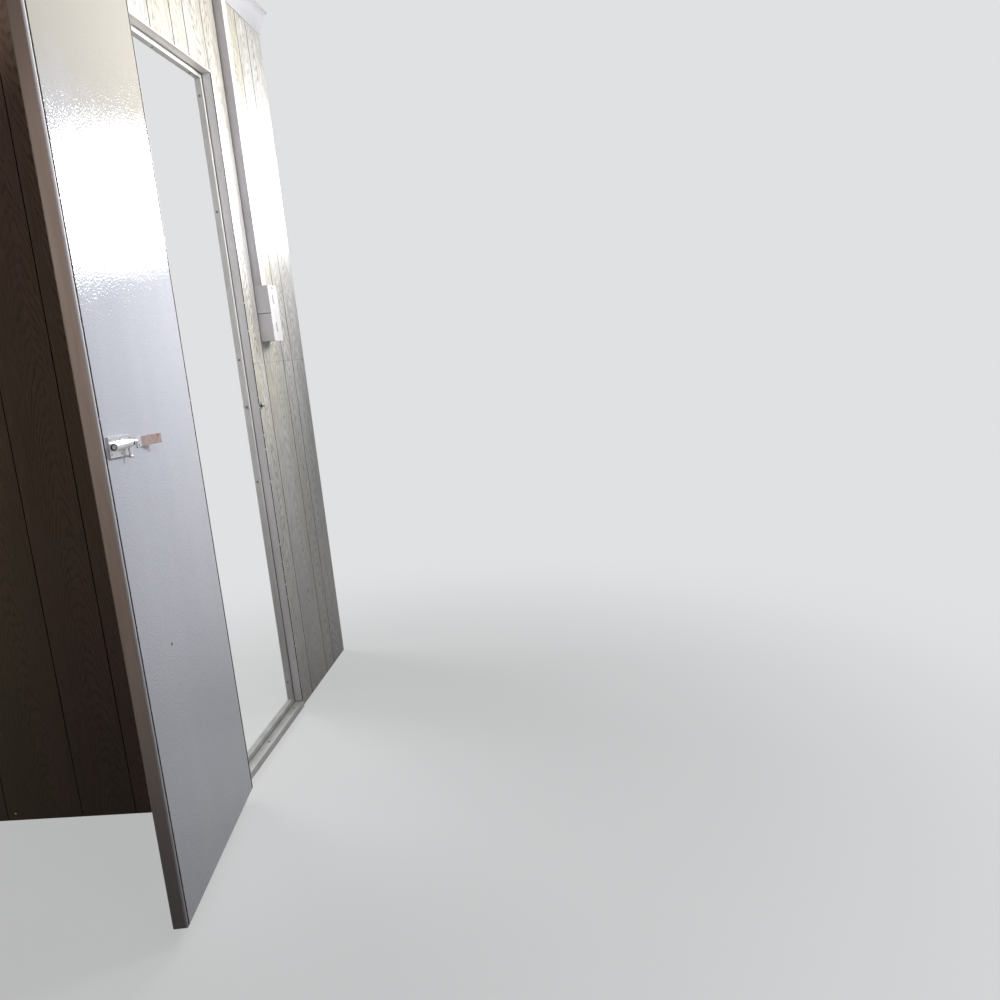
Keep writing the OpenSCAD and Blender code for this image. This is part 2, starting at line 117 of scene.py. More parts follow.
def apart(tree, value, place):
    """How far a value lies from a place, on either side of it."""
    return calc(tree, "ABSOLUTE", calc(tree, "SUBTRACT", value, place))


def times(tree, vector, factors):
    """A vector times three factors."""
    node = add(tree, "ShaderNodeVectorMath", {0: vector, 1: factors}, operation="MULTIPLY")
    return node.outputs[0]


def vector_of(tree, x, y, z):
    """A vector made of three values."""
    return add(tree, "ShaderNodeCombineXYZ", {0: x, 1: y, 2: z}).outputs[0]


def parts_of(tree, vector):
    """The three values of a vector."""
    return add(tree, "ShaderNodeSeparateXYZ", {0: vector}).outputs


def fade(tree, value, start, end, low=0.0, high=1.0):
    """Low before start, high after end, and a soft step between them."""
    inputs = {"Value": value, "From Min": start, "From Max": end, "To Min": low, "To Max": high}
    return add(tree, "ShaderNodeMapRange", inputs, interpolation_type="SMOOTHSTEP").outputs[0]


def noise(tree, vector, scale=1.0, detail=2.0, roughness=0.5):
    """Soft noise from 0 to 1."""
    inputs = {"Vector": vector, "Scale": scale, "Detail": detail, "Roughness": roughness}
    return add(tree, "ShaderNodeTexNoise", inputs).outputs["Fac"]


def mix(tree, share, under, over):
    """Colour between under and over."""
    inputs = {0: share, 6: under, 7: over}
    return add(tree, "ShaderNodeMix", inputs, data_type="RGBA").outputs[2]


def place_of(tree):
    """Point on the piece in the CAD frame at rest."""
    return add(tree, "ShaderNodeTexCoord").outputs["Object"]


def new_group(name, inputs, outputs):
    """A node group with named sockets. Returns the tree, its inputs and its outputs."""
    group = bpy.data.node_groups.new(name, "ShaderNodeTree")
    for label, kind, value in inputs:
        socket = group.interface.new_socket(name=label, in_out="INPUT", socket_type="NodeSocket" + kind)
        if value is not None:
            socket.default_value = value
    for label, kind in outputs:
        group.interface.new_socket(name=label, in_out="OUTPUT", socket_type="NodeSocket" + kind)
    source = group.nodes.new("NodeGroupInput").outputs
    sink = group.nodes.new("NodeGroupOutput").inputs
    return group, source, sink


def use(tree, group, **inputs):
    """Places a group in a tree. Input names are written with _ for spaces."""
    node = add(tree, "ShaderNodeGroup", node_tree=group)
    for key, value in inputs.items():
        give(tree, node.inputs[key.replace("_", " ")], value)
    return node.outputs


# Effects that several finishes share


def make_planks(name, widths):
    """Group that turns the distance from the outer corner into a plank's number, the distance from
    the middle of that plank, and the distance from the nearest seam."""
    group, source, sink = new_group(
        name,
        [("Distance", "Float", 0.0)],
        [("Plank", "Float"), ("Across", "Float"), ("To Seam", "Float")],
    )
    distance = source["Distance"]
    seam, centre = widths[0], widths[0] / 2
    number, middle, nearest = 0.0, centre, 1.0
    for width in widths[1:]:
        nearest = calc(group, "MINIMUM", apart(group, distance, seam), nearest)
        passed = calc(group, "GREATER_THAN", distance, seam)
        number = calc(group, "ADD", passed, number)
        middle = calc(group, "MULTIPLY_ADD", passed, seam + width / 2 - centre, middle)
        centre = seam + width / 2
        seam += width
    give(group, sink["Plank"], number)
    give(group, sink["Across"], calc(group, "SUBTRACT", distance, middle))
    give(group, sink["To Seam"], nearest)
    return group


def make_oak_print():
    """Nested arches of flat-sawn oak on each plank, broken up by pores."""
    group, source, sink = new_group(
        "oak print",
        [
            ("Plank", "Float", 0.0),
            ("Across", "Float", 0.0),
            ("Height", "Float", 0.0),
            ("Arch Height", "Float", 0.036),
            ("Arch Width", "Float", 0.0225),
        ],
        [("Grain", "Float"), ("Fibre", "Float"), ("Tone", "Float")],
    )
    plank = source["Plank"]
    chance = add(group, "ShaderNodeTexWhiteNoise", {"W": plank}, noise_dimensions="1D")
    red, green, blue = parts_of(group, chance.outputs["Color"])
    upright = calc(group, "GREATER_THAN", red, 0.22)
    sign = calc(group, "MULTIPLY_ADD", upright, 2.0, -1.0)
    up = calc(group, "MULTIPLY_ADD", source["Height"], sign, calc(group, "MULTIPLY", green, 4.0))
    seed = calc(group, "MULTIPLY", plank, 7.31)

    def field(across, across_scale, up_scale, detail=2.0):
        """Noise that is stretched along the plank, centred on 0."""
        x = calc(group, "MULTIPLY", across, across_scale)
        z = calc(group, "MULTIPLY", up, up_scale)
        return calc(group, "SUBTRACT", noise(group, vector_of(group, x, seed, z), detail=detail), 0.5)

    shifted = calc(group, "MULTIPLY_ADD", calc(group, "SUBTRACT", blue, 0.5), 0.045, source["Across"])
    wander = field(0.0, 0.0, 1.7, 1.0)
    across = calc(group, "MULTIPLY_ADD", wander, 0.07, shifted)
    spread = calc(group, "DIVIDE", across, source["Arch Width"])
    arch = calc(group, "MULTIPLY_ADD", spread, spread, calc(group, "DIVIDE", up, source["Arch Height"]))
    arch = calc(group, "MULTIPLY_ADD", field(across, 17.0, 3.6), 5.0, arch)
    arch = calc(group, "MULTIPLY_ADD", field(across, 80.0, 17.0), 1.5, arch)
    ring = calc(group, "FRACT", arch)
    trailing = fade(group, ring, 0.05, 0.55, 1.0, 0.0)
    leading = fade(group, ring, 0.9, 1.0)
    line = calc(group, "MAXIMUM", trailing, leading)
    pores = fade(group, field(across, 620.0, 42.0, 1.5), -0.1, 0.1, 0.35, 1.0)
    strength = fade(group, field(across, 9.0, 2.4, 1.0), -0.22, 0.16, 0.4, 1.0)
    grain = calc(group, "MULTIPLY", calc(group, "MULTIPLY", line, pores), strength)
    give(group, sink["Grain"], grain)
    give(group, sink["Fibre"], fade(group, field(across, 190.0, 16.0), -0.2, 0.2))
    tone = calc(group, "MULTIPLY_ADD", green, 0.6, field(across, 5.0, 1.4))
    give(group, sink["Tone"], tone)
    return group


def make_paint_ripple():
    """Height of the ripple that gloss paint dries with, pulled a little along one axis."""
    group, source, sink = new_group(
        "paint ripple",
        [("Vector", "Vector", None), ("Size", "Float", 0.004), ("Pull", "Float", 2.0)],
        [("Height", "Float")],
    )
    scale = calc(group, "DIVIDE", 1.0, source["Size"])
    x, y, z = parts_of(group, source["Vector"])
    pulled = vector_of(group, x, y, calc(group, "DIVIDE", z, source["Pull"]))
    give(group, sink["Height"], noise(group, pulled, scale, 1.5, 0.4))
    return group


def make_grime():
    """Masks of the dirt that a cabin's walls collect: thick near the floor, with specks above."""
    group, source, sink = new_group(
        "grime",
        [("Vector", "Vector", None), ("Reach", "Float", 0.2), ("Specks", "Float", 0.5)],
        [("Low Dirt", "Float"), ("Speck", "Float")],
    )
    height = parts_of(group, source["Vector"])[2]
    ragged = calc(group, "MULTIPLY_ADD", noise(group, source["Vector"], 22.0, 5.0, 0.65), -2.0, 1.0)
    level = calc(group, "MULTIPLY_ADD", ragged, source["Reach"], height)
    low = fade(group, level, calc(group, "MULTIPLY", source["Reach"], -0.5), source["Reach"], 1.0, 0.0)
    patchy = fade(group, noise(group, source["Vector"], 60.0, 4.0, 0.6), 0.35, 0.7, 0.35, 1.0)
    give(group, sink["Low Dirt"], calc(group, "MULTIPLY", low, patchy))
    cell = add(group, "ShaderNodeTexVoronoi", {"Vector": source["Vector"], "Scale": 55.0})
    size_chance, show_chance, _ = parts_of(group, cell.outputs["Color"])
    size = calc(group, "MULTIPLY", size_chance, 0.09)
    rare = calc(group, "GREATER_THAN", show_chance, 0.86)
    dot = calc(group, "LESS_THAN", cell.outputs["Distance"], size)
    speck = calc(group, "MULTIPLY", calc(group, "MULTIPLY", dot, rare), source["Specks"])
    give(group, sink["Speck"], speck)
    return group


def make_scratches():
    """Thin marks that cross each other, mostly along one axis."""
    group, source, sink = new_group(
        "scratches",
        [("Vector", "Vector", None), ("Amount", "Float", 0.5)],
        [("Mark", "Float"), ("Worn", "Float")],
    )
    marks = 0.0
    for turn, scale in ((0.35, 9.0), (-0.6, 14.0), (1.3, 11.0)):
        turned = add(
            group,
            "ShaderNodeVectorRotate",
            {"Vector": source["Vector"], "Angle": turn},
            rotation_type="X_AXIS",
        ).outputs[0]
        lane = noise(group, times(group, turned, (scale, scale * 1.3, scale * 34.0)), 1.0, 2.0, 0.4)
        hair = fade(group, apart(group, lane, 0.5), 0.0, 0.006, 1.0, 0.0)
        here = fade(group, noise(group, turned, scale, 1.0), 0.56, 0.66)
        marks = calc(group, "MAXIMUM", calc(group, "MULTIPLY", hair, here), marks)
    give(group, sink["Mark"], calc(group, "MULTIPLY", marks, source["Amount"]))
    cloud = noise(group, source["Vector"], 38.0, 6.0, 0.7)
    limit = calc(group, "SUBTRACT", 0.78, calc(group, "MULTIPLY", source["Amount"], 0.3))
    give(group, sink["Worn"], fade(group, cloud, limit, calc(group, "ADD", limit, 0.05)))
    return group


def make_leaf_place():
    """Point on the leaf as if it were closed, so that its finish follows its own edges."""
    group, _, sink = new_group("closed leaf", [], [("Vector", "Vector")])
    turned = add(
        group,
        "ShaderNodeVectorRotate",
        {"Vector": place_of(group), "Center": (*PIN, 0.0), "Angle": DOOR_ANGLE},
        rotation_type="Z_AXIS",
    )
    give(group, sink["Vector"], turned.outputs[0])
    return group


def make_brushing():
    """Fine lines drawn along one axis of rolled or plated metal."""
    group, source, sink = new_group(
        "brushing",
        [("Vector", "Vector", None), ("Stretch", "Vector", (1.0, 1.0, 1.0))],
        [("Line", "Float"), ("Cloud", "Float")],
    )
    drawn = times(group, source["Vector"], source["Stretch"])
    give(group, sink["Line"], noise(group, drawn, 1.0, 3.0, 0.6))
    give(group, sink["Cloud"], noise(group, source["Vector"], 70.0, 3.0, 0.6))
    return group


DOOR_WALL_ROW = make_planks("door wall planks", DOOR_WALL_PLANKS)
RETURN_WALL_ROW = make_planks("return wall planks", RETURN_WALL_PLANKS)
OAK_PRINT = make_oak_print()
PAINT_RIPPLE = make_paint_ripple()
GRIME = make_grime()
SCRATCHES = make_scratches()
CLOSED_LEAF = make_leaf_place()
BRUSHING = make_brushing()


# Finishes

# Dark of the seams beside the leaf's edgings: painted shade in the grooves, and dark sealant.
SEAM_SHADE_AND_SEALANT = srgb(14, 12, 14)


def new_finish(name, roughness=0.5, **fixed):
    """A material with its shader. Values that are the same all over are set on the shader."""
    finish = bpy.data.materials.new(name)
    finish.use_nodes = True
    shader = finish.node_tree.nodes["Principled BSDF"]
    shader.inputs["Roughness"].default_value = roughness
    for key, value in fixed.items():
        shader.inputs[key.replace("_", " ")].default_value = value
    return finish, finish.node_tree, shader.inputs


def raise_surface(tree, surface, height, distance, strength):
    """Bump from a height. A height of 1 stands for the distance, in metres."""
    inputs = {"Height": height, "Distance": distance, "Strength": strength}
    give(tree, surface["Normal"], add(tree, "ShaderNodeBump", inputs).outputs[0])


def clouded(tree, cloud, light, dark):
    """Colour that drifts with a soft noise between two near ones."""
    return mix(tree, fade(tree, cloud, 0.3, 0.7), light, dark)


def soil(tree, color, dirt, low_share, low_color, speck_share, speck_color):
    """Colour under the two masks of the grime, each with its share and its own colour."""
    color = mix(tree, calc(tree, "MULTIPLY", dirt["Low Dirt"], low_share), color, low_color)
    return mix(tree, calc(tree, "MULTIPLY", dirt["Speck"], speck_share), color, speck_color)


def make_oak_board(
    name, row, along, behind, colors, contrast, fibre, shine, dull, rag, floor_shade=0.0, joint_z=None
):
    """Printed board with painted grooves. along and behind turn a point's coordinates into the distance
    from the outer corner and the depth behind the board's face. colors are those of the base, of the
    planks that have yellowed, of the grain and of the grooves. dull is the roughness between the grain,
    rag is how far a groove's paint strays, the argument after rag is how much painted shade darkens the
    board toward the floor, and joint_z is where two boards meet."""
    base, yellowed, grain, groove = colors
    finish, tree, surface = new_finish(name, Specular_IOR_Level=shine)
    point = place_of(tree)
    xyz = parts_of(tree, point)
    distance, depth = along(tree, xyz), behind(tree, xyz)
    planks = use(tree, row, Distance=distance)
    oak = use(tree, OAK_PRINT, Plank=planks["Plank"], Across=planks["Across"], Height=xyz[2])
    dirt = use(tree, GRIME, Vector=point, Reach=0.12, Specks=0.7)
    aged = noise(tree, times(tree, point, (5.0, 5.0, 1.3)), 1.0, 2.0)
    aged = calc(tree, "MULTIPLY_ADD", oak["Tone"], 0.4, aged)
    tone = mix(tree, fade(tree, aged, 0.4, 0.8), base, yellowed)
    tone = mix(tree, calc(tree, "MULTIPLY_ADD", oak["Tone"], 0.16, 0.0, clamp=True), tone, grain)
    fibres = calc(tree, "MULTIPLY", oak["Fibre"], fibre)
    inked = calc(tree, "MULTIPLY_ADD", oak["Grain"], contrast, fibres)
    color = mix(tree, calc(tree, "MINIMUM", inked, 1.0), tone, grain)
    dark = srgb(92, 84, 72)
    color = mix(tree, calc(tree, "MULTIPLY", dirt["Low Dirt"], 0.28), color, dark)
    # Painted shade: the board turns darker toward the floor, in the dirt's dark colour, as less light
    # reaches it there.
    if floor_shade:
        color = mix(tree, fade(tree, xyz[2], 0.1, 1.1, floor_shade, 0.0), color, dark)
    color = mix(tree, calc(tree, "MULTIPLY", dirt["Speck"], 0.75), color, dark)
    if joint_z:
        joint = fade(tree, apart(tree, xyz[2], joint_z), 0.0004, 0.0012, 0.5, 0.0)
        color = mix(tree, joint, color, grain)
    stray = noise(tree, times(tree, point, (130.0, 130.0, 130.0)), 1.0, 2.0)
    width = calc(tree, "MULTIPLY_ADD", stray, rag, GROOVE_LINE)
    line = calc(tree, "LESS_THAN", planks["To Seam"], width)
    color = mix(tree, calc(tree, "MAXIMUM", line, fade(tree, depth, 0.0001, 0.0006)), color, groove)
    raw = mix(tree, noise(tree, point, 300.0, 3.0), srgb(160, 128, 96), srgb(120, 92, 66))
    color = mix(tree, calc(tree, "GREATER_THAN", depth, GROOVE_D + 0.0003), color, raw)
    give(tree, surface["Base Color"], color)
    give(tree, surface["Roughness"], calc(tree, "MULTIPLY_ADD", oak["Grain"], 0.16, dull))
    height = calc(tree, "MULTIPLY", oak["Grain"], -1.0)
    raise_surface(tree, surface, height, 0.0002, 0.6)
    return finish


def along_door_wall(tree, xyz):
    """Distance from the outer corner along the door wall."""
    return calc(tree, "ADD", xyz[1], FACE)


def behind_door_wall(tree, xyz):
    """Depth behind the face of the door wall's boards."""
    return calc(tree, "SUBTRACT", FACE, xyz[0])


def along_return_wall(tree, xyz):
    """Distance from the outer corner along the return wall."""
    return calc(tree, "SUBTRACT", FACE, xyz[0])


def behind_return_wall(tree, xyz):
    """Depth behind the face of the return wall's board."""
    return calc(tree, "ADD", xyz[1], FACE)


def make_pine(name, stretch):
    """Sawn pine with its grain along one axis: stretch is small on that axis."""
    finish, tree, surface = new_finish(name, Specular_IOR_Level=0.3)
    point = place_of(tree)
    rings = noise(tree, times(tree, point, stretch), 1.0, 3.0, 0.55)
    bands = calc(tree, "FRACT", calc(tree, "MULTIPLY", rings, 9.0))
    late = fade(tree, bands, 0.45, 0.95)
    color = mix(tree, late, srgb(214, 180, 132), srgb(176, 130, 82))
    saw = noise(tree, times(tree, point, (240.0, 240.0, 240.0)), 1.0, 2.0)
    color = mix(tree, fade(tree, saw, 0.45, 0.8, 0.0, 0.25), color, srgb(140, 104, 70))
    give(tree, surface["Base Color"], color)
    give(tree, surface["Roughness"], fade(tree, late, 0.0, 1.0, 0.72, 0.58))
    raise_surface(tree, surface, calc(tree, "ADD", saw, late), 0.0003, 0.5)
    return finish


def make_lining():
    """Plain washable board on the toilet side, with fine mottling."""
    finish, tree, surface = new_finish("plain_lining_board", Specular_IOR_Level=0.4)
    point = place_of(tree)
    dirt = use(tree, GRIME, Vector=point, Reach=0.18, Specks=0.5)
    mottle = noise(tree, point, 9.0, 5.0, 0.6)
    color = clouded(tree, mottle, srgb(203, 205, 200), srgb(190, 194, 190))
    color = soil(tree, color, dirt, 0.35, srgb(120, 112, 98), 0.6, srgb(70, 62, 54))
    give(tree, surface["Base Color"], color)
    give(tree, surface["Roughness"], fade(tree, mottle, 0.2, 0.8, 0.38, 0.5))
    ripple = use(tree, PAINT_RIPPLE, Vector=point, Size=0.006, Pull=1.0)
    raise_surface(tree, surface, ripple["Height"], 0.0004, 0.35)
    return finish


def make_trim():
    """Extruded white plastic of the cornice and the corner angle."""
    finish, tree, surface = new_finish("white_trim_plastic", Specular_IOR_Level=0.15)
    point = place_of(tree)
    dirt = use(tree, GRIME, Vector=point, Reach=0.3, Specks=0.6)
    cloud = noise(tree, times(tree, point, (3.0, 3.0, 0.8)), 1.0, 3.0)
    color = clouded(tree, cloud, srgb(202, 202, 208), srgb(190, 190, 196))
    color = soil(tree, color, dirt, 0.5, srgb(112, 102, 88), 0.7, srgb(90, 80, 70))
    give(tree, surface["Base Color"], color)
    give(tree, surface["Roughness"], fade(tree, cloud, 0.2, 0.8, 0.6, 0.7))
    ripple = use(tree, PAINT_RIPPLE, Vector=point, Size=0.012, Pull=12.0)
    raise_surface(tree, surface, ripple["Height"], 0.0006, 0.25)
    return finish


def make_frame_paint(name, base, shade, wear, low_reach, joint_and_shade=0.0, low_shade=0.0):
    """Brushed-on paint on metal: ripples, chips down to primer, and dirt near the floor. Where the
    joint share is 1, the dark joint between frame and board shows along the reveals' outer edge,
    widened with painted shade of the gap. The last argument is how much painted shade darkens the paint
    toward the floor."""
    finish, tree, surface = new_finish(name, Specular_IOR_Level=0.5)
    point = place_of(tree)
    dirt = use(tree, GRIME, Vector=point, Reach=low_reach, Specks=0.9)
    marks = use(tree, SCRATCHES, Vector=point, Amount=wear)
    cloud = noise(tree, times(tree, point, (14.0, 14.0, 5.0)), 1.0, 4.0)
    color = clouded(tree, cloud, base, shade)
    x, y, z = parts_of(tree, point)
    mud_and_shade = srgb(104, 95, 84)
    # Painted shade: the paint turns darker toward the floor, as less light reaches it there.
    if low_shade:
        color = mix(tree, fade(tree, z, 0.0, 1.0, low_shade, 0.0), color, mud_and_shade)
    color = mix(tree, calc(tree, "MULTIPLY", marks["Mark"], 0.75), color, srgb(104, 96, 90))
    color = mix(tree, marks["Worn"], color, srgb(122, 112, 104))
    color = soil(tree, color, dirt, 0.5, mud_and_shade, 0.8, srgb(72, 64, 58))
    foot = calc(tree, "LESS_THAN", apart(tree, z, SILL_H + FOOT_LINE_UP), FOOT_LINE_HALF)
    color = mix(tree, calc(tree, "MULTIPLY", foot, 0.8), color, srgb(44, 38, 36))
    # The dark joint between frame and board along the reveals' outer edge, widened with painted shade
    # of the gap.
    if joint_and_shade:
        inward = calc(tree, "MINIMUM", apart(tree, y, REVEAL_LOCK), apart(tree, y, REVEAL_HINGE))
        joint_x = FRAME_FRONT - FRAME_T
        outer = fade(tree, x, joint_x - 0.0004, joint_x + 0.0004)
        joint = calc(tree, "MULTIPLY", calc(tree, "LESS_THAN", inward, 0.0003), outer)
        ragged = fade(tree, noise(tree, times(tree, point, (0.0, 0.0, 70.0)), 1.0, 2.0), 0.36, 0.42)
        dark = calc(tree, "MULTIPLY", joint, calc(tree, "MULTIPLY", ragged, joint_and_shade))
        color = mix(tree, dark, color, srgb(48, 42, 40))
    give(tree, surface["Base Color"], color)
    give(tree, surface["Roughness"], calc(tree, "MULTIPLY_ADD", marks["Worn"], 0.3, 0.3))
    ripple = use(tree, PAINT_RIPPLE, Vector=point, Size=0.005, Pull=5.0)
    height = calc(tree, "SUBTRACT", ripple["Height"], calc(tree, "MULTIPLY", marks["Worn"], 0.6))
    raise_surface(tree, surface, height, 0.0003, 0.45)
    return finish


def make_leaf_gloss():
    """Cool white gloss skin of the leaf, rippled, with the dark seams beside both edgings: painted
    shade in their grooves and dark sealant on the face beside them.
    """
    finish, tree, surface = new_finish("gloss_leaf_skin", Specular_IOR_Level=0.4)
    point = use(tree, CLOSED_LEAF)["Vector"]
    _, y, z = parts_of(tree, point)
    dirt = use(tree, GRIME, Vector=point, Reach=0.1, Specks=0.8)
    cloud = noise(tree, times(tree, point, (2.0, 5.0, 1.6)), 1.0, 3.0)
    color = clouded(tree, cloud, srgb(190, 192, 204), srgb(184, 186, 199))
    # Painted reflection, not yellowing: the leaf's top turns warmer and darker, for the warm ceiling
    # seen in its gloss.
    yellowed = fade(tree, calc(tree, "MULTIPLY_ADD", cloud, 0.2, z), 1.5, 1.8)
    color = mix(tree, yellowed, color, srgb(176, 171, 162))
    color = soil(tree, color, dirt, 0.22, srgb(128, 122, 116), 0.6, srgb(110, 100, 96))
    to_hinge_edge = calc(tree, "SUBTRACT", y, LEAF_HINGE_EDGE)
    to_lock_edge = calc(tree, "SUBTRACT", LEAF_LOCK_EDGE, y)
    near_edge = calc(tree, "MINIMUM", to_hinge_edge, to_lock_edge)
    # Painted shade and sealant: the seam's groove and a strip of the face beside it are dark.
    smear = noise(tree, times(tree, point, (0.0, 0.0, 60.0)), 1.0, 3.0)
    seam_end = EDGING_W + SEAM_W + 0.0038
    seam = calc(tree, "LESS_THAN", near_edge, fade(tree, smear, 0.3, 0.7, seam_end, seam_end + 0.001))
    seam = calc(tree, "MULTIPLY", seam, open_share(tree, z))
    give(tree, surface["Base Color"], mix(tree, seam, color, SEAM_SHADE_AND_SEALANT))
    gloss = fade(tree, cloud, 0.2, 0.8, 0.05, 0.08)
    give(tree, surface["Roughness"], calc(tree, "MULTIPLY_ADD", seam, 0.9, gloss))
    ripple = use(tree, PAINT_RIPPLE, Vector=point, Size=0.004, Pull=1.0)
    broad = use(tree, PAINT_RIPPLE, Vector=point, Size=0.024, Pull=1.6)
    height = calc(tree, "MULTIPLY_ADD", broad["Height"], 0.5, ripple["Height"])
    raise_surface(tree, surface, height, 0.0009, 0.7)
    return finish


def open_share(tree, z):
    """1 where the seam beside the edging is open, and 0 where paint has bridged it."""
    bridged = fade(tree, noise(tree, vector_of(tree, 0.0, 0.0, z), 26.0, 3.0), 0.64, 0.67)
    return calc(tree, "SUBTRACT", 1.0, bridged)


def make_edging():
    """Edging of the leaf's long edges, white paint with painted light and shade: pinkish in the middle,
    taupe above and grey below, a little darker where hands rub it near the bolt, a painted highlight on
    the rim beside the inner face, and painted shade on the side facing the seam."""
    finish, tree, surface = new_finish("leaf_edging_painted_light", Specular_IOR_Level=0.25)
    point = use(tree, CLOSED_LEAF)["Vector"]
    x, y, z = parts_of(tree, point)
    dirt = use(tree, GRIME, Vector=point, Reach=0.12, Specks=0.9)
    streak = noise(tree, times(tree, point, (60.0, 60.0, 4.0)), 1.0, 3.0)
    # Painted light and shade on white paint: pinkish where the light falls in the middle, taupe above,
    # grey below and darker at the top.
    color = clouded(tree, streak, srgb(230, 206, 192), srgb(214, 189, 174))
    color = mix(tree, fade(tree, z, 1.1, 1.8, 0.0, 1.0), color, srgb(160, 138, 127))
    color = mix(tree, fade(tree, z, 0.0, 0.7, 1.0, 0.0), color, srgb(168, 161, 161))
    color = mix(tree, fade(tree, z, 1.5, 1.75, 0.0, 0.52), color, srgb(100, 84, 76))
    near_bolt = fade(tree, apart(tree, z, BOLT_Z + 0.03), 0.05, 0.35, 1.0, 0.0)
    handled = calc(tree, "MULTIPLY", near_bolt, fade(tree, streak, 0.3, 0.6))
    color = mix(tree, calc(tree, "MULTIPLY", handled, 0.15), color, srgb(140, 122, 110))
    # Painted highlight: the rim beside the inner face is lighter.
    rim = fade(tree, calc(tree, "SUBTRACT", x, LEAF_IN), ARRIS_R * 0.9, ARRIS_R * 1.5, 1.0, 0.0)
    color = mix(tree, rim, color, srgb(216, 213, 216))
    color = soil(tree, color, dirt, 0.4, srgb(110, 100, 92), 0.7, srgb(90, 80, 76))
    # Painted shade: the edging's side facing the seam is dark, as the groove lies in shade.
    from_lock_side = apart(tree, y, LEAF_LOCK_EDGE - EDGING_W)
    from_hinge_side = apart(tree, y, LEAF_HINGE_EDGE + EDGING_W)
    inner_side = calc(tree, "LESS_THAN", calc(tree, "MINIMUM", from_lock_side, from_hinge_side), 0.0005)
    color = mix(tree, calc(tree, "MULTIPLY", inner_side, open_share(tree, z)), color, SEAM_SHADE_AND_SEALANT)
    give(tree, surface["Base Color"], color)
    rubbed = fade(tree, streak, 0.2, 0.8, 0.24, 0.36)
    give(tree, surface["Roughness"], calc(tree, "MULTIPLY_ADD", rim, 0.2, rubbed))
    ripple = use(tree, PAINT_RIPPLE, Vector=point, Size=0.006, Pull=6.0)
    raise_surface(tree, surface, ripple["Height"], 0.0003, 0.3)
    return finish


def make_plated(name, base, tarnish, roughness, stretch, tarnish_share=0.5, stain=None):
    """Plated or bare steel: drawn lines, and clouds of tarnish that are darker and duller.
    stain changes the colour further, and is given the tree and the colour."""
    finish, tree, surface = new_finish(name, Metallic=1.0)
    point = place_of(tree)
    metal = use(tree, BRUSHING, Vector=point, Stretch=stretch)
    dull = fade(tree, metal["Cloud"], 0.4, 0.68, 0.0, tarnish_share)
    color = mix(tree, dull, base, tarnish)
    if stain:
        color = stain(tree, color)
    give(tree, surface["Base Color"], color)
    rough = calc(tree, "MULTIPLY_ADD", metal["Line"], 0.16, roughness - 0.08)
    give(tree, surface["Roughness"], calc(tree, "MULTIPLY_ADD", dull, 0.25, rough))
    raise_surface(tree, surface, metal["Line"], 0.00004, 0.4)
    return finish


def grease_and_shade_bolt(tree, color):
    """Dark grease and painted shade in the barrel's mouth and at both ends of the rear ring, and a grey
    film on the rod."""
    mouth_wall, mouth_depth, clean_tip = 0.0014, 0.0031, 0.0025
    x, y, z = parts_of(tree, use(tree, CLOSED_LEAF)["Vector"])
    sunk = calc(tree, "MULTIPLY", calc(tree, "SUBTRACT", BOLT_END, y), math.tan(BOLT_PLATE_TILT))
    rise = calc(tree, "ADD", calc(tree, "SUBTRACT", z, BOLT_Z), sunk)
    side = calc(tree, "SUBTRACT", x, ROD_X)
    squares = calc(tree, "MULTIPLY_ADD", side, side, calc(tree, "MULTIPLY", rise, rise))
    out = calc(tree, "SQRT", squares)
    rod = calc(tree, "LESS_THAN", out, ROD_R + 0.0001)
    color = mix(tree, rod, color, srgb(172, 166, 163))
    in_bore = calc(tree, "LESS_THAN", out, BARREL_R - mouth_wall)
    near_end = calc(tree, "GREATER_THAN", y, BARREL_END - mouth_depth)
    in_mouth = calc(tree, "MULTIPLY", near_end, in_bore)
    gap_middle = (REAR_RING_FRONT + BARREL_START) / 2
    in_gap = fade(tree, apart(tree, y, gap_middle), 0.005, 0.0062, 1.0, 0.0)
    at_back = fade(tree, apart(tree, y, REAR_RING_BACK), 0.001, 0.002, 0.9, 0.0)
    behind = calc(tree, "MAXIMUM", in_gap, at_back)
    round_bolt = calc(tree, "LESS_THAN", out, BARREL_R + 0.001)
    # Painted shade with grease: the bore's mouth and the gaps by the rear ring are dark.
    grease_and_shade = calc(tree, "MAXIMUM", in_mouth, calc(tree, "MULTIPLY", behind, round_bolt))
    tip = calc(tree, "MULTIPLY", rod, calc(tree, "GREATER_THAN", y, BARREL_END - clean_tip))
    grease_and_shade = calc(tree, "MULTIPLY", grease_and_shade, calc(tree, "SUBTRACT", 1.0, tip))
    return mix(tree, grease_and_shade, color, srgb(24, 22, 24))


def make_bolt_plating():
    """Bright plating of the bolt, with grease and painted shade where the rod runs."""
    white, dull = srgb(206, 205, 208), srgb(158, 153, 151)
    return make_plated("plated_bolt", white, dull, 0.32, (60.0, 60.0, 400.0), 0.35, grease_and_shade_bolt)


